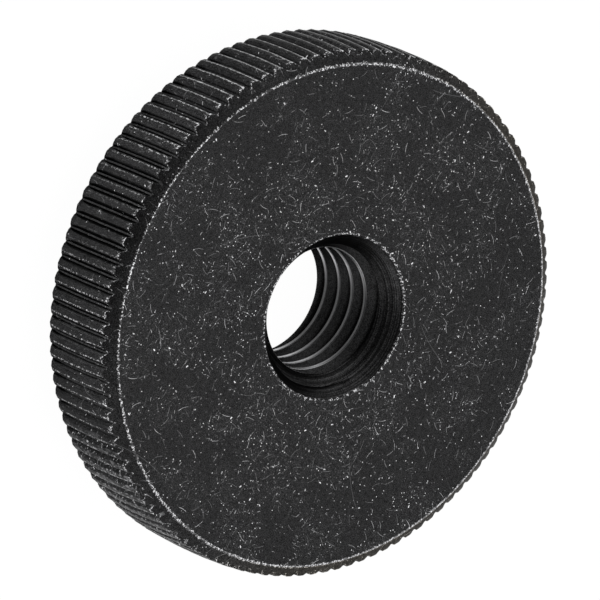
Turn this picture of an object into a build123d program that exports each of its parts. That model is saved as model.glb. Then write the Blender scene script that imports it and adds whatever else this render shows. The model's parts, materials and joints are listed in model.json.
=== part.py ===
from build123d import *
import os
from math import pi, radians, tan

# Knurled thumb nut: a flat turned steel disc with a tapped hole and a straight knurl round its rim.
# Frame: the nut lies on its crowned rear face, the hole stands on Z, the flat front face is on top.
# All sizes are in millimetres and degrees.

# Disc
outer_diameter = 36.0
thickness = 9.0
chamfer_width = 0.85      # radial width of the chamfer between the knurl and the flat front face
chamfer_height = 0.57     # height of the same chamfer along the axis
crown_height = 2.2        # the rear rim slopes in over this height
crown_angle = 30.0        # slope of that crown, measured from the rear face

# Tapped hole, M10 x 1.5
thread_diameter = 10.0
tap_drill_diameter = 8.5  # crests of the thread
front_mouth_diameter = 11.3
front_mouth_angle = 75.0  # included angle of the countersink on the front face
rear_mouth_diameter = thread_diameter
rear_mouth_angle = 90.0

# Straight knurl
knurl_pitch = 1.0
knurl_teeth = round(pi * outer_diameter / knurl_pitch)
groove_depth = 0.27
groove_angle = 90.0       # included angle of each V groove
groove_overshoot = 0.1    # how far the cutting profile stands outside the rim

outer_radius = outer_diameter / 2
face_radius = outer_radius - chamfer_width
rear_radius = outer_radius - crown_height / tan(radians(crown_angle))
os.makedirs("parts", exist_ok=True)


with BuildPart() as knurled_nut:
    # Solid blank: half of its section, turned about Z
    with BuildSketch(Plane.XZ) as section:
        with BuildLine():
            Polyline(
                (0, 0),
                (rear_radius, 0),
                (outer_radius, crown_height),
                (outer_radius, thickness - chamfer_height),
                (face_radius, thickness),
                (0, thickness),
                close=True,
            )
        make_face()
    revolve(axis=Axis.Z)

    # Hole: tap drill with a countersink at each end
    with Locations(Plane.XY.offset(thickness)):
        CounterSinkHole(
            radius=tap_drill_diameter / 2,
            counter_sink_radius=front_mouth_diameter / 2,
            counter_sink_angle=front_mouth_angle,
        )
    with Locations(-Plane.XY):
        CounterSinkHole(
            radius=tap_drill_diameter / 2,
            counter_sink_radius=rear_mouth_diameter / 2,
            counter_sink_angle=rear_mouth_angle,
        )

    # Knurl: one V groove across the rim for each tooth
    groove_half_width = (groove_depth + groove_overshoot) * tan(radians(groove_angle / 2))
    with BuildSketch(Plane.XY) as grooves:
        with PolarLocations(outer_radius, knurl_teeth):
            Polygon(
                (-groove_depth, 0),
                (groove_overshoot, groove_half_width),
                (groove_overshoot, -groove_half_width),
                align=None,
            )
    extrude(amount=thickness, mode=Mode.SUBTRACT)

knurled_nut.part.label = "knurled_nut"
export_step(knurled_nut.part, "parts/knurled_nut.step")

print(f"knurl: {knurl_teeth} teeth")
print(f"volume: {knurled_nut.part.volume:.0f} cubic mm, solids: {len(knurled_nut.part.solids())}")
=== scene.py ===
# %% [markdown]
# # A knurled thumb nut in blackened steel
#
# The object is one turned piece of steel: a flat disc with a straight knurl round its rim and a
# tapped hole through its middle. The lesson builds it the way a machinist does, by knurling a
# ring, turning the chamfers and cutting the thread, and then blackens it and wears its edges.

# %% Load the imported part
import json
import math

import bmesh
import bpy
from mathutils import Matrix, Vector, noise


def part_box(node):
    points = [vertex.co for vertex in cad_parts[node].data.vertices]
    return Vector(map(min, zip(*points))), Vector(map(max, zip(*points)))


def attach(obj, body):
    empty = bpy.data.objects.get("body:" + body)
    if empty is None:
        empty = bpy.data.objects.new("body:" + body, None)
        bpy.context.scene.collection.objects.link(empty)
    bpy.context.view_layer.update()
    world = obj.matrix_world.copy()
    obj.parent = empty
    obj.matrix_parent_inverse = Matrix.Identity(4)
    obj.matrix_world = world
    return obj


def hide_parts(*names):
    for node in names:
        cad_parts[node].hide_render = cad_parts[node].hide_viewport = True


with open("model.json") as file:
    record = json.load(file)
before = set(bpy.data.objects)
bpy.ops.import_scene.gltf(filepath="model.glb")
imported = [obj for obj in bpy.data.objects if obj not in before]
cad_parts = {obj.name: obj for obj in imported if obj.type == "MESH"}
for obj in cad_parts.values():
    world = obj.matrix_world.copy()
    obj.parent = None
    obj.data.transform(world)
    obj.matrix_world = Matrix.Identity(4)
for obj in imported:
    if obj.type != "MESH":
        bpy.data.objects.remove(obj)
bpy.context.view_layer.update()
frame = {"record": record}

# %% [markdown]
# ## Sizes
#
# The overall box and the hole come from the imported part, so the detailed nut cannot drift away
# from it. The other sizes repeat the turned form: a narrow, gently sloping chamfer at the front of
# the rim, a 30 degree crown at the rear, and a countersink at each end of the hole.

# %% Sizes, in metres
MM = 0.001
low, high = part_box("knurled_nut")
thickness = high[2] - low[2]
outer_radius = (high[1] - low[1]) / 2
mounts = {mount["name"]: mount for mount in frame["record"]["mounts"]}
crest_radius = mounts["thread"]["dims"]["r_mm"] * MM    # the thread's crests, inside the hole

taper = 0.05 * MM                # how much more the knurl stands out at its rear than at its front
front_radius = outer_radius - taper / 2
chamfer_width = 0.83 * MM
chamfer_height = 0.62 * MM
face_radius = front_radius - chamfer_width
crown_height = 2.15 * MM
crown_angle = math.radians(30)
crown_run = crown_height / math.tan(crown_angle)
rear_radius = outer_radius - crown_run
front_mouth = 11.3 / 2 * MM
front_mouth_angle = math.radians(75)
front_mouth_slope = math.tan(front_mouth_angle / 2)    # how fast the front countersink closes
rear_mouth = 10.0 / 2 * MM

knurl_teeth = 113
tooth_angle = 2 * math.pi / knurl_teeth
groove_depth = 0.27 * MM
thread_pitch = 1.5 * MM
print(f"nut {2 * outer_radius / MM:.1f} mm across and {thickness / MM:.1f} mm thick")
print(f"hole {2 * crest_radius / MM:.1f} mm across")

# %% [markdown]
# ## The camera
#
# The nut lies on its crowned rear face, and the camera looks down on the flat front face. A long
# lens from a fair distance keeps the ellipses of the face and the hole nearly parallel. The
# camera is rolled about its own line of sight, so that the disc seems to lean as if it stood on
# its rim.

# %% Camera
tilt = math.radians(38.3)        # between the line of sight and the hole's axis
roll = math.radians(112.85)
distance = 419.7 * MM
aim_right, aim_up = -2.322 * MM, 1.144 * MM    # where the camera aims, from the face's centre
lens, sensor_width = 381, 36

backward = Vector((0, -math.sin(tilt), math.cos(tilt)))
level_right = Vector((1, 0, 0))
level_up = backward.cross(level_right)
right = math.cos(roll) * level_right + math.sin(roll) * level_up
up = backward.cross(right)

camera = bpy.data.objects.new("camera", bpy.data.cameras.new("camera"))
bpy.context.scene.collection.objects.link(camera)
bpy.context.scene.camera = camera
face_centre = Vector((0, 0, thickness))
camera.matrix_world = Matrix.Translation(
    face_centre + aim_right * right + aim_up * up + distance * backward
) @ Matrix((right, up, backward)).transposed().to_4x4()
camera.data.sensor_width = sensor_width
camera.data.lens = lens
print("camera stands at", [round(value, 4) for value in camera.matrix_world.translation])

# %% [markdown]
# ## The knurled blank
#
# A straight knurl is one tooth repeated. Half a tooth is drawn with four vertices, mirrored
# about the middle of its groove and spun into a ring of 113. The ring is then extruded along the
# turned section, from the front chamfer over the face, down the hole and out over the rear. Each
# stop of the section is one extrusion, so the blank closes on itself like a tyre. A boolean would
# do the same with more trouble: here the chamfers cut the teeth exactly, because every vertex of
# the ring meets the cone at its own height.

# %% Tooth outline
root_flat = 0.11 * MM            # width of the groove's flat bottom
groove_half_width = 0.27 * MM    # half the groove's width at its top
crest_fall = 0.01 * MM           # how much lower a crest is at its edges than in its middle
shoulder = 0.07 * MM             # how far from its edges a crest is level again
touching = 0.001 * MM            # vertices closer than this are merged


def polar(radius, angle, height=0.0):
    return Vector((radius * math.cos(angle), radius * math.sin(angle), height))


def add_tooth_ring(bm):
    crest_edge_angle = groove_half_width / outer_radius
    shoulder_angle = crest_edge_angle + shoulder / outer_radius
    half_tooth = [
        bm.verts.new(polar(outer_radius - groove_depth, root_flat / 2 / outer_radius)),
        bm.verts.new(polar(outer_radius - crest_fall, crest_edge_angle)),
        bm.verts.new(polar(outer_radius - crest_fall / 4, shoulder_angle)),
        bm.verts.new(polar(outer_radius, tooth_angle / 2)),
    ]
    for first, second in zip(half_tooth, half_tooth[1:]):
        bm.edges.new((first, second))
    bmesh.ops.mirror(bm, geom=bm.verts[:] + bm.edges[:], matrix=Matrix(), merge_dist=0, axis="Y")
    root_corners = sorted(bm.verts, key=lambda v: v.co.length)[:2]
    bm.edges.new(root_corners)
    bmesh.ops.spin(
        bm, geom=bm.verts[:] + bm.edges[:], cent=(0, 0, 0), axis=(0, 0, 1),
        angle=2 * math.pi, steps=knurl_teeth, use_duplicate=True, use_merge=True,
    )
    bmesh.ops.remove_doubles(bm, verts=bm.verts[:], dist=touching)


blank = bmesh.new()
add_tooth_ring(blank)
print("ring:", len(blank.verts), "vertices,", len(blank.edges), "edges")

# %% [markdown]
# Turning comes next. The first ring is the front corner of the knurl, where each vertex sits at
# the height at which the chamfer reaches its radius. The last ring does the same on the crown, and
# stands out a little further, because the knurl is slightly tapered. A stop close to each sharp
# edge keeps the smooth shading of its bevel narrow.

# %% Turned section
support = 0.15 * MM              # how far from an edge its extra ring stands
turned_stops = [
    (face_radius, thickness),
    (face_radius - support, thickness),
    (front_mouth + support, thickness),
    (front_mouth, thickness),
    (crest_radius, thickness - (front_mouth - crest_radius) / front_mouth_slope),
    (crest_radius, rear_mouth - crest_radius),
    (rear_mouth, 0),
    (rear_mouth + support, 0),
    (rear_radius - support, 0),
    (rear_radius, 0),
]


def flat_radius(vert):
    return vert.co.xy.length


def extruded_ring(bm, ring):
    made = bmesh.ops.extrude_edge_only(bm, edges=ring)["geom"]
    return [part for part in made if isinstance(part, bmesh.types.BMEdge)]


def ring_verts(ring):
    return {vert for edge in ring for vert in edge.verts}


def turn_blank(bm):
    front_ring = bm.edges[:]
    tooth_radius = bm.verts.layers.float.new("tooth_radius")
    for vert in bm.verts:
        vert[tooth_radius] = flat_radius(vert)
        vert.co.xy *= 1 - taper / 2 / flat_radius(vert)
        vert.co.z = thickness - (flat_radius(vert) - face_radius) * chamfer_height / chamfer_width
    ring = front_ring
    for radius, height in turned_stops:
        ring = extruded_ring(bm, ring)
        for vert in ring_verts(ring):
            vert.co.xy *= radius / flat_radius(vert)
            vert.co.z = height
    rear_ring = extruded_ring(bm, ring)
    for vert in ring_verts(rear_ring):
        vert.co.xy *= (vert[tooth_radius] + taper / 2) / flat_radius(vert)
        vert.co.z = crown_height - (outer_radius - vert[tooth_radius]) * crown_height / crown_run
    return bmesh.ops.bridge_loops(bm, edges=front_ring + rear_ring)["edges"]


tooth_edges = turn_blank(blank)
bmesh.ops.recalc_face_normals(blank, faces=blank.faces[:])
print("blank:", len(blank.faces), "faces, closed:", all(edge.is_manifold for edge in blank.edges))

# %% [markdown]
# ## Wear on the knurl
#
# A knurl is rolled in under pressure, so no groove is quite straight, the steel swells a little in
# the middle of the rim, and at the rear the crests spread, narrow the grooves and end in round
# noses. The walls of the teeth are subdivided along the rim. Their new vertices then move: out for
# the swelling, towards the groove where a crest spreads, and a little in any direction by a noise.
# The noise gets a seed, so that every run makes the same nut.

# %% Uneven teeth
swelling = 0.12 * MM             # how far the middle of the rim stands out
nose_length = 1.3 * MM           # length over which a crest spreads into its nose at the rear
nose_spread = 0.95               # how much wider the crest becomes
nose_drop = 0.17 * MM            # how far the nose falls away at its sides
wander = 0.015 * MM              # how far a vertex strays
bump_size = 0.5 * MM             # distance over which the straying changes
cuts_along_tooth = 10
knurl_length = thickness - chamfer_height - crown_height
noise.seed_set(7)                # 0 would draw a new pattern on every run


def shape_nose(vert, along_nose):
    angle = math.atan2(vert.co.y, vert.co.x)
    crest_angle = (math.floor(angle / tooth_angle) + 0.5) * tooth_angle
    off_crest = (angle - crest_angle) * (1 + nose_spread * along_nose ** 2)
    fall = nose_drop * along_nose ** 3 * (2 * off_crest / tooth_angle) ** 2
    vert.co = polar(flat_radius(vert) - fall, crest_angle + off_crest, vert.co.z)


def roughen_teeth(bm, edges):
    bmesh.ops.subdivide_edges(bm, edges=edges, cuts=cuts_along_tooth, use_grid_fill=True)
    for vert in bm.verts:
        if flat_radius(vert) < outer_radius - groove_depth - taper:
            continue
        from_rear = max(0.0, vert.co.z - crown_height)
        if flat_radius(vert) > outer_radius - groove_depth / 2:
            shape_nose(vert, max(0.0, 1 - from_rear / nose_length))
        along_rim = from_rear / knurl_length
        vert.co.xy *= 1 + swelling * 4 * along_rim * (1 - along_rim) / outer_radius
        vert.co += noise.noise_vector(vert.co / bump_size) * wander


roughen_teeth(blank, tooth_edges)
print("teeth:", len(blank.faces), "faces")

# %% [markdown]
# ## Broken edges
#
# Handling and tumbling round every sharp edge a little, and those narrow rounds catch the light.
# A bevel of a few hundredths of a millimetre does it. The crests get a wider one than the turned
# edges, because the knurling itself rolls them over. The roots stay sharp.

# %% Bevels
crest_round = 0.035 * MM
edge_round = 0.03 * MM
corner_angle = math.radians(25)


def is_corner(edge):
    return edge.is_manifold and edge.calc_face_angle_signed() > corner_angle


def runs_along_axis(edge):
    direction = edge.verts[1].co - edge.verts[0].co
    return abs(direction.z) > 0.8 * direction.length


def round_edges(bm, edges, width):
    bmesh.ops.bevel(
        bm, geom=edges, offset=width, offset_type="OFFSET", segments=2,
        profile=0.5, affect="EDGES", material=-1, clamp_overlap=True,
    )


crest_corners = [edge for edge in blank.edges if is_corner(edge) and runs_along_axis(edge)]
round_edges(blank, crest_corners, crest_round)
turned_corners = [edge for edge in blank.edges if is_corner(edge) and not runs_along_axis(edge)]
round_edges(blank, turned_corners, edge_round)
print("rounded", len(crest_corners), "crest edges and", len(turned_corners), "turned edges")

# %% [markdown]
# ## The thread
#
# A thread is one groove that climbs as it turns. A short closed profile is spun with a rise at
# every step, which makes a solid screw of nine turns, and a boolean cuts that screw out of the
# hole. The profile is a little wider than a 60 degree V where it passes the crest, so that the
# crests come out rounded, and it stays narrower than the pitch, so that its turns never touch.

# %% Thread cutter
thread_turns = 9
steps_per_turn = 96
thread_start = -2.383 * MM       # height of the groove's middle where the cutter starts
thread_profile = [               # radius and half width of the groove
    (crest_radius - 0.25 * MM, 0.73 * MM),
    (crest_radius - 0.005 * MM, 0.655 * MM),
    (crest_radius + 0.012 * MM, 0.612 * MM),
    (crest_radius + 0.05 * MM, 0.573 * MM),
    (crest_radius + 0.75 * MM, 0.1655 * MM),
    (crest_radius + 0.79 * MM, 0.08 * MM),
]


def add_thread_cutter(bm):
    upper = [bm.verts.new((radius, 0, thread_start + half)) for radius, half in thread_profile]
    lower = [bm.verts.new((radius, 0, thread_start - half)) for radius, half in thread_profile]
    outline = upper + lower[::-1]
    for first, second in zip(outline, outline[1:] + outline[:1]):
        bm.edges.new((first, second))
    bmesh.ops.spin(
        bm, geom=bm.verts[:] + bm.edges[:], cent=(0, 0, 0), axis=(0, 0, 1),
        dvec=(0, 0, thread_pitch / steps_per_turn),
        angle=thread_turns * 2 * math.pi, steps=thread_turns * steps_per_turn,
    )
    open_ends = [edge for edge in bm.edges if edge.is_boundary]
    bmesh.ops.holes_fill(bm, edges=open_ends, sides=len(outline))
    bmesh.ops.recalc_face_normals(bm, faces=bm.faces[:])


def mesh_object(name, bm):
    mesh = bpy.data.meshes.new(name)
    bm.to_mesh(mesh)
    bm.free()
    thing = bpy.data.objects.new(name, mesh)
    bpy.context.scene.collection.objects.link(thing)
    return thing


screw = bmesh.new()
add_thread_cutter(screw)
print("cutter:", len(screw.faces), "faces, closed:", all(edge.is_manifold for edge in screw.edges))

# %% Cut the thread
nut = mesh_object("thumb_nut", blank)
cutter = mesh_object("thread_cutter", screw)
cut = nut.modifiers.new("thread", "BOOLEAN")
cut.operation = "DIFFERENCE"
cut.solver = "EXACT"
cut.object = cutter
finished = bpy.data.meshes.new_from_object(nut.evaluated_get(bpy.context.evaluated_depsgraph_get()))
nut.modifiers.clear()
nut.data = finished
bpy.data.objects.remove(cutter)

smooth_angle = math.radians(32)
for face in nut.data.polygons:
    face.use_smooth = True
nut.data.set_sharp_from_angle(angle=smooth_angle)
nut.data.calc_loop_triangles()
print("nut:", len(nut.data.loop_triangles), "triangles")

# %% [markdown]
# ## Sums on sockets
#
# The finish depends on where a point lies on the nut: how far from an edge, which side of a
# crest, how deep in the hole. That is arithmetic, and it reads best as arithmetic. A wire wraps
# a socket and overloads the operators, so that an expression on wires adds its own Math nodes.
# Every other node comes from one method that takes its type, its settings and its inputs.

# %% Wires and finishes
class Wire:
    """A shader socket that can be used like a number."""

    def __init__(self, finish, socket):
        self.finish = finish
        self.socket = socket

    def sum(self, operation, *values):
        return self.finish.node("Math", {"operation": operation}, dict(enumerate(values)))

    def beside(self, output):
        return Wire(self.finish, self.socket.node.outputs[output])

    def __add__(self, other):
        return self.sum("ADD", self, other)

    def __radd__(self, other):
        return self.sum("ADD", other, self)

    def __sub__(self, other):
        return self.sum("SUBTRACT", self, other)

    def __rsub__(self, other):
        return self.sum("SUBTRACT", other, self)

    def __mul__(self, other):
        return self.sum("MULTIPLY", self, other)

    def __rmul__(self, other):
        return self.sum("MULTIPLY", other, self)

    def __truediv__(self, other):
        return self.sum("DIVIDE", self, other)

    def __rtruediv__(self, other):
        return self.sum("DIVIDE", other, self)

    def __pow__(self, other):
        return self.sum("POWER", self, other)

    def __gt__(self, other):
        return self.sum("GREATER_THAN", self, other)

    def __lt__(self, other):
        return self.sum("LESS_THAN", self, other)

    def __abs__(self):
        return self.sum("ABSOLUTE", self)

    def larger(self, other):
        return self.sum("MAXIMUM", self, other)

    def smaller(self, other):
        return self.sum("MINIMUM", self, other)

    def fade(self, start, end, low=0.0, high=1.0):
        """Low up to start, high from end on, with a soft step between; start may exceed end."""
        ends = {"Value": self, 1: start, 2: end, 3: low, 4: high}
        if start > end:
            ends = {"Value": self, 1: end, 2: start, 3: high, 4: low}
        return self.finish.node("MapRange", {"interpolation_type": "SMOOTHSTEP"}, ends)


class Finish:
    """A node tree, with the one method that adds its nodes."""

    def __init__(self, tree):
        self.tree = tree
        self.tree.nodes.clear()

    def node(self, kind, settings={}, inputs={}, output=0):
        made = self.tree.nodes.new("ShaderNode" + kind)
        for name, value in settings.items():
            setattr(made, name, value)
        for place, value in inputs.items():
            if isinstance(value, Wire):
                self.tree.links.new(value.socket, made.inputs[place])
            else:
                made.inputs[place].default_value = value
        return Wire(self, made.outputs[output]) if made.outputs else made

    def vector(self, x, y, z=0.0):
        return self.node("CombineXYZ", {}, {"X": x, "Y": y, "Z": z})

    def cloud(self, point, size, detail=2.0):
        """Soft noise between 0 and 1 whose blotches are about as large as size."""
        return self.node("TexNoise", {}, {"Vector": point, "Scale": 1 / size, "Detail": detail})


def new_finish(name):
    material = bpy.data.materials.new(name)
    material.use_nodes = True
    return material, Finish(material.node_tree)


blackened, steel = new_finish("blackened_steel")
print("materials:", [material.name for material in bpy.data.materials])

# %% [markdown]
# ## Where a point lies
#
# Everything is measured in millimetres from the nut's own axis: the radius, the depth below the
# front face, and how far a point is from the middle of its groove along the rim. The distances to
# the edges follow from these, and the wear will need them.

# %% Places on the nut
def hypotenuse(across, down):
    return (across * across + down * down) ** 0.5


place = steel.node("TexCoord", output="Object")
place = steel.node("VectorMath", {"operation": "SCALE"}, {0: place, "Scale": 1 / MM})
place_x = steel.node("SeparateXYZ", {}, {0: place})
place_y = place_x.beside("Y")
depth = thickness / MM - place_x.beside("Z")
radius = hypotenuse(place_x, place_y)
turn = place_x.sum("ARCTAN2", place_y, place_x)
arc = turn * (outer_radius / MM)
from_face_edge = hypotenuse(radius - face_radius / MM, depth)
from_mouth_edge = hypotenuse(radius - front_mouth / MM, depth)
outside_hole = radius > front_mouth / MM - 0.02
below_face = depth > 0.03
print("nodes for places:", len(blackened.node_tree.nodes))

# %% [markdown]
# The rim needs its own measures. Its crests swell and taper as the mesh does, so their radius
# changes along the rim. The arc is wrapped at every tooth, which gives the distance from the
# nearest groove. Above the chamfer and above the flank of a tooth, the larger of two distances is
# the distance from the edge where they meet.

# %% Places on the rim
crest_line = 0.09                # how far inside a crest's edge its wear lies
rim_skin = 0.9                   # how far under the crests a point still counts as rim
groove_depth_mm = groove_depth / MM
root_edge = root_flat / MM / 2
crest_edge = groove_half_width / MM
tooth_pitch = outer_radius / MM * tooth_angle

along_rim = (thickness / MM - depth - crown_height / MM) * (MM / knurl_length)
rim_radius = (outer_radius + taper / 2) / MM - taper / MM * along_rim.larger(0)
rim_radius = rim_radius + (swelling * 4 / MM * along_rim * (1 - along_rim)).larger(0)
across_groove = place_x.sum("WRAP", arc, tooth_pitch / 2, -tooth_pitch / 2)
off_groove = abs(across_groove)

chamfer_slope = math.hypot(chamfer_width, chamfer_height)
above_chamfer = abs((radius - face_radius / MM) * chamfer_height - depth * chamfer_width)
above_chamfer = above_chamfer * (1 / chamfer_slope)
up_the_flank = ((off_groove - root_edge) / (crest_edge - root_edge)).larger(0).smaller(1)
above_tooth = rim_radius - groove_depth_mm * (1 - up_the_flank) - radius
from_tooth_front = above_tooth.larger(above_chamfer)
crest_across = off_groove - crest_edge - crest_line
from_crest_edge = hypotenuse(crest_across, radius - rim_radius)
from_corner = hypotenuse(crest_across, above_chamfer)

on_rim = (radius > rim_radius - rim_skin) * (above_chamfer > 0.01)
on_chamfer = below_face * (depth < 1) * outside_hole * (1 - on_rim)
print("nodes with the rim:", len(blackened.node_tree.nodes))

# %% [markdown]
# ## Scratches
#
# The oxide is thin, and parts that tumble against each other in a bin mark it all over with
# short nicks and hairlines in every direction. A Voronoi pattern deals them out: each cell gets
# one mark, whose direction, strength and presence come from the cell's random colour, and whose
# shape is a thin band round the cell's own point. Bending the band gives it a hook.

# %% Marks in cells
flat_point = steel.vector(place_x, place_y)
rim_point = steel.vector(arc, depth)
surface_point = steel.node(
    "Mix", {"data_type": "VECTOR"}, {0: on_rim, 4: flat_point, 5: rim_point}, output=1,
)


def marks(cell, width, length, share, bend=0.0, shift=0.0, faint=0.1):
    """One mark in every cell of the pattern, for the share of the cells that has one."""
    moved = steel.node("VectorMath", {"operation": "ADD"}, {0: surface_point, 1: (shift, shift / 2, 0)})
    scaled = steel.node("VectorMath", {"operation": "SCALE"}, {0: moved, "Scale": 1 / cell})
    middle = steel.node(
        "TexVoronoi", {"voronoi_dimensions": "2D"},
        {"Vector": scaled, "Scale": 1.0}, output="Position",
    )
    local = steel.node("VectorMath", {"operation": "SUBTRACT"}, {0: scaled, 1: middle})
    along = steel.node("SeparateXYZ", {}, {0: local}) * cell
    aside = steel.node("SeparateXYZ", {}, {0: local}, output="Y") * cell
    chance = steel.node("SeparateColor", {}, {0: middle.beside("Color")})
    heading = chance * (2 * math.pi)
    sine = heading.sum("SINE", heading)
    cosine = heading.sum("COSINE", heading)
    ahead = along * cosine + aside * sine
    off_line = abs(aside * cosine - along * sine + ahead * ahead * bend)
    presence = chance.beside("Green")
    strength = chance.beside("Blue") ** 4
    band = off_line.fade(width * 0.5, width * 0.25) * abs(ahead).fade(length * 0.5, length * 0.3)
    return band * (presence < share) * (faint + 1.2 * strength)


# %% [markdown]
# Handling isn't even. The marks crowd in patches and round the hole, and the rim is scribbled over
# where it faces +X. Fine grit breaks every mark up, and a dust of tiny dots lies between them.

# %% Hairs, specks, chips and dust
patches = steel.cloud(place, 2.6, 4.0).fade(0.42, 0.60)
near_hole = radius.fade(14.5, 8.0)
crowding = (0.28 + 0.4 * patches + 0.28 * near_hole) * outside_hole * (1 - 0.5 * below_face)
crowding = crowding + 1.5 * on_rim * place_x.fade(12, 16)

grit = steel.cloud(place, 0.06, 1.0)
broken = grit.fade(0.34, 0.50)
dust = steel.cloud(place, 0.055, 0.0).fade(0.56, 0.74) * (0.4 + 0.6 * patches) * outside_hole
hairs = marks(cell=0.36, width=0.045, length=0.30, share=0.45 * crowding, bend=1.4)
hairs = hairs + marks(
    cell=0.9, width=0.036, length=0.85, share=0.9 * crowding, bend=-0.4, shift=11.3, faint=0.35,
)
specks = marks(cell=0.19, width=0.065, length=0.09, share=0.26 * crowding, shift=5.1)
chips = marks(cell=1.0, width=0.10, length=0.20, share=0.35 * crowding, bend=1.0, shift=23.7)
long_lines = marks(cell=5.5, width=0.06, length=4.5, share=0.6, bend=0.05, shift=31.9)
scratches = (hairs * 0.43 + specks * 1.3 + chips * 1.5) * broken + dust * 0.05 + long_lines * 0.06
print("nodes with marks:", len(blackened.node_tree.nodes))

# %% [markdown]
# ## Worn edges
#
# The oxide goes first where the nut touches other things: the corner of the face, the mouth of
# the hole and the crests of the knurl. Each worn line is a distance from an edge, made ragged by
# one noise and broken into beads by another. Where the corner of the face is rubbed most, the
# beads run together.

# %% Worn corners
edge_noise = steel.cloud(place, 0.16, 2.0) - 0.5
gaps = steel.cloud(place, 0.45, 1.0).fade(0.36, 0.48)
beads = steel.cloud(place, 0.11, 1.0).fade(0.47, 0.60) * gaps


def worn(distance, raggedness, outer, inner):
    """1 within inner of an edge and 0 beyond outer, with a ragged border."""
    return (distance + edge_noise * raggedness).fade(outer, inner)


far_corner = place_y.fade(2, 12)
rubbed = abs(place_x).fade(7, 15).larger(far_corner)
face_edge_wear = worn(from_face_edge - 0.045 * rubbed, 0.42, 0.065, 0.03)
face_edge_wear = face_edge_wear * beads.larger(0.06 * rubbed + 0.18 * far_corner)
mouth_wear = worn(from_mouth_edge, 0.50, 0.11, 0.05) * beads
print("nodes with worn corners:", len(blackened.node_tree.nodes))

# %% [markdown]
# On the teeth, place_x times across_groove is above zero on the flanks that face -Y and below
# zero on those that face +Y. The crests are worn along their edges, and only the edge on the +Y side
# is kept, which makes it a painted highlight as well as wear. The flanks on the other side get a
# painted sheen.

# %% Worn teeth
towards_y = place_x * across_groove
on_crest = (radius > rim_radius - 0.05) * on_rim
# partly wear, partly painted highlight: only the crest edge on the +Y side is bright
crest_wear_and_highlight = worn(from_crest_edge, 0.2, 0.055, 0.025) * towards_y.fade(0.2, -2.6)
crest_wear_and_highlight = crest_wear_and_highlight * beads.larger(place_x.fade(-7, -12, 0.0, 0.5))
front_wear = worn(from_tooth_front, 0.26, 0.07, 0.03) * beads
corner_wear = worn(from_corner, 0.7, 0.20, 0.08) * beads * on_rim
crest_mottle = steel.cloud(place, 0.09, 2.0).fade(0.50, 0.66) * on_crest
crest_mottle = crest_mottle * place_x.fade(2, -8, 0.3, 1.0)
mottle = steel.cloud(place, 0.3, 3.0)
# partly scuffs, partly painted light: the crests towards +X are made lighter
scuffs_and_sheen = mottle.fade(0.52, 0.62) * place_x.fade(12, 16.5) * on_crest

up_groove = (radius - rim_radius + groove_depth_mm) / groove_depth_mm
# painted highlight along the roots and painted shade on the flanks, used in the tone below
on_root = up_groove.fade(0.10, 0.03) * on_rim
on_flank = up_groove.fade(0.05, 0.16) * up_groove.fade(0.95, 0.80) * on_rim
# painted sheen on the flanks that face -Y, weaker towards +X and towards -X
painted_flank_sheen = up_groove.fade(0.1, 0.4) * towards_y.fade(0.2, 1.6) * on_rim * (1 - on_crest)
painted_flank_sheen = painted_flank_sheen * place_x.fade(6, 14, 1.0, 0.1) * place_x.fade(-14, -6, 0.5, 1.0)
print("nodes with worn teeth:", len(blackened.node_tree.nodes))

# %% [markdown]
# In the hole the thread's crests are rubbed bright, and a painted highlight makes them brighter
# still towards the two sides. The countersink keeps the rings that the tool left when it was
# turned, and painted shade darkens it everywhere but on its +Y side.

# %% Thread and countersink
crest_mm = crest_radius / MM
on_thread = radius.fade(crest_mm + 0.06, crest_mm + 0.02) * (depth > 1.2)
# wear and painted highlight: the crests of the thread brighten towards +X and -X
thread_wear_and_highlight = on_thread * (0.28 + 6.5 * (abs(place_x) / crest_mm) ** 6)
on_cone = (1 - outside_hole) * (depth < 1.9) * (radius > crest_mm + 0.02)
rings_and_shade = steel.cloud(steel.vector(depth * 14, 0.3 * turn), 1.0, 2.0).fade(0.40, 0.65, -0.4, 1.4)
# painted shade: the countersink darker everywhere but on its +Y side
rings_and_shade = rings_and_shade * on_cone * place_y.fade(0, 4, 0.7, 1.0) - 0.35 * on_cone * place_y.fade(4, 0)
print("nodes with the hole:", len(blackened.node_tree.nodes))

# %% [markdown]
# ## Tone
#
# The oxide is almost black, with grit, soft mottling and faint turning rings in it. Light and shade
# are painted into it as well: the rim is lighter towards +X and darker towards -X, the chamfer darker
# towards -Y and lighter towards +Y, the flanks of the teeth are darker and their roots lighter, the
# flanks that face -Y get a sheen, and the countersink is darker away from +Y. Bare steel shows
# wherever a mark or wear has taken the oxide away, so those are added on top, together with the
# painted highlights on the crests of the knurl and of the thread.

# %% Oxide and bare steel
oxide = 0.0272                   # how much light the oxide gives back
bare_steel = 0.95
# painted light and shade: the rim lighter towards +X and darker towards -X
rim_light_and_shade = place_x.fade(13, 17.5, 0.9, 1.9) * place_x.fade(-4, -12, 1.1, 0.66)
# painted light and shade: the chamfer darker towards -Y and lighter towards +Y
chamfer_light_and_shade = place_y.fade(-5, 8, 0.86, 1.75)
turning = steel.cloud(steel.vector(radius * 7, turn * 1.5), 1.0, 3.0)

tone = oxide * (1.6 * grit.fade(0.3, 0.8) + 0.35 * mottle.fade(0.3, 0.7) + 0.25 * turning)
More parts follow.
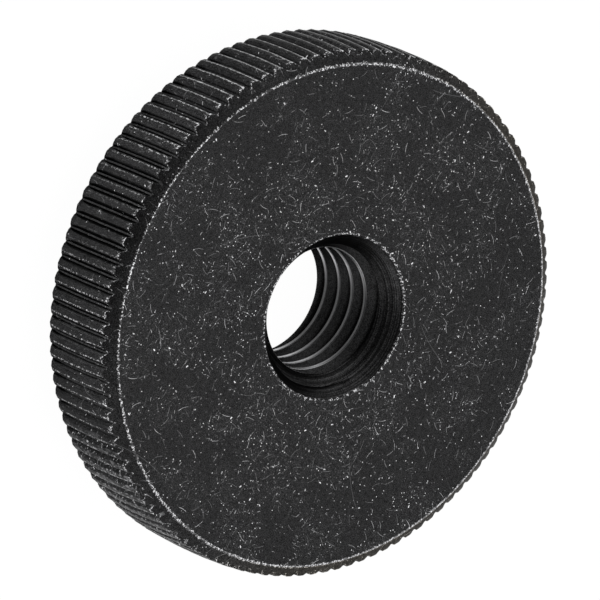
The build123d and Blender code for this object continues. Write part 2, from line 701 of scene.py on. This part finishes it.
# painted light and shade: crests a little lighter, flanks darker, roots and the flanks that face -Y
# lighter, and the countersink's rings with its painted shade
tone = tone * (1 + 0.15 * on_crest - 0.6 * on_flank + on_root + 2.2 * painted_flank_sheen + rings_and_shade)
tone = tone * (1 + (rim_light_and_shade - 1) * on_rim) * (1 + (chamfer_light_and_shade - 1) * on_chamfer)
worn_corners_and_highlights = face_edge_wear * 0.7 + mouth_wear * 0.65 + thread_wear_and_highlight * 0.4
worn_teeth_and_highlights = crest_wear_and_highlight * 0.7 + front_wear * 0.6 + corner_wear * 0.6
worn_crests_and_sheen = crest_mottle * 0.07 + scuffs_and_sheen * 0.2
tone = (tone + scratches + worn_corners_and_highlights + worn_teeth_and_highlights + worn_crests_and_sheen).smaller(bare_steel)
print("nodes with tone:", len(blackened.node_tree.nodes))

# %% [markdown]
# The tone is tinted last: neutral on the face, and slightly brown on the chamfer and the rim
# towards +Y, where the oxide has begun to turn. A shallow bump gives the surface its grain.

# %% Steel
neutral, brown = (1.0, 1.0, 1.02), (1.07, 1.0, 0.9)
brownness = place_y.fade(-4, 8) * below_face * outside_hole
tint = steel.node("Mix", {"data_type": "VECTOR"}, {0: brownness, 4: neutral, 5: brown}, output=1)
tint = steel.node("VectorMath", {"operation": "SCALE"}, {0: tint, "Scale": tone})
grain = steel.node(
    "Bump", {}, {"Strength": 0.2, "Distance": 0.02 * MM, "Height": steel.cloud(place, 0.12, 3.0)},
)
shader = steel.node(
    "BsdfPrincipled", {},
    {"Base Color": tint, "Metallic": 1.0, "Roughness": 0.32, "Normal": grain,
     "Specular Tint": (0.5, 0.5, 0.5, 1)},
)
steel.node("OutputMaterial", {}, {"Surface": shader})
nut.data.materials.clear()
nut.data.materials.append(blackened)
print("nodes in all:", len(blackened.node_tree.nodes))

# %% [markdown]
# ## The studio
#
# The nut lies on a white table under soft white light from all round, with one broad lamp
# overhead. The side that the camera looks from is darker, and the steel shows that in the chamfer
# and the countersink that face it, where painted shade in the oxide's tone darkens them further.
# The camera sees the table as plain white paper, reflections see it at half that strength, and it
# still takes a faint shadow. It lies a hair below the nut, so that the two never share a plane.

# %% Table
floor_shape = bmesh.new()
a_hair_below = Matrix.Translation((0, 0, -0.02 * MM))
bmesh.ops.create_grid(floor_shape, x_segments=1, y_segments=1, size=3.0, matrix=a_hair_below)
floor = mesh_object("table", floor_shape)

paper, sheet = new_finish("white_paper")
camera_ray = sheet.node("LightPath", output="Is Camera Ray")
seen = camera_ray.larger(camera_ray.beside("Is Transmission Ray")) * 0.95
seen = seen.larger(camera_ray.beside("Is Glossy Ray") * 0.5)
lit = sheet.node("BsdfDiffuse", {}, {"Color": (0.9, 0.9, 0.9, 1)})
white = sheet.node("Emission", {}, {"Color": (1, 1, 1, 1), "Strength": 1.03})
surface = sheet.node("MixShader", {}, {0: seen, 1: lit, 2: white})
sheet.node("OutputMaterial", {}, {"Surface": surface})
floor.data.materials.append(paper)
print("table nodes:", len(paper.node_tree.nodes))

# %% Sky
world = bpy.data.worlds.new("studio")
world.use_nodes = True
bpy.context.scene.world = world
sky = Finish(world.node_tree)
direction = sky.node("TexCoord", output="Generated")
dark_tilt = math.radians(75)     # how far the darkest side leans from straight up towards -Y
dark_side = Vector((0, -math.sin(dark_tilt), math.cos(dark_tilt)))
to_dark = sky.node(
    "VectorMath", {"operation": "DOT_PRODUCT"}, {0: direction, 1: dark_side}, output="Value",
)
brightness = to_dark.fade(0.3, 0.95, 0.95, 0.22)
camera_ray = sky.node("LightPath", output="Is Camera Ray")
background = sky.node(
    "Background", {}, {"Color": (1, 1, 1, 1), "Strength": brightness.larger(camera_ray)},
)
sky.node("OutputWorld", {}, {"Surface": background})
print("sky nodes:", len(world.node_tree.nodes))

# %% Lamp
lamp_height = 0.9
lamp_tilt = math.radians(-5)
lamp = bpy.data.objects.new("soft_lamp", bpy.data.lights.new("soft_lamp", "AREA"))
lamp.data.shape = "DISK"
lamp.data.size = 0.4
lamp.data.energy = 1.0
lamp.matrix_world = Matrix.Rotation(lamp_tilt, 4, "X") @ Matrix.Translation((0, 0, lamp_height))
bpy.context.scene.collection.objects.link(lamp)
bpy.context.scene.view_settings.view_transform = "Standard"
print(f"lamp: {lamp.data.size:.1f} m across, {lamp_height:.1f} m up")

# %% [markdown]
# ## Hand over
#
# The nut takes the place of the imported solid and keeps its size.

# %% Finish
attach(nut, "root")
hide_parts("knurled_nut")
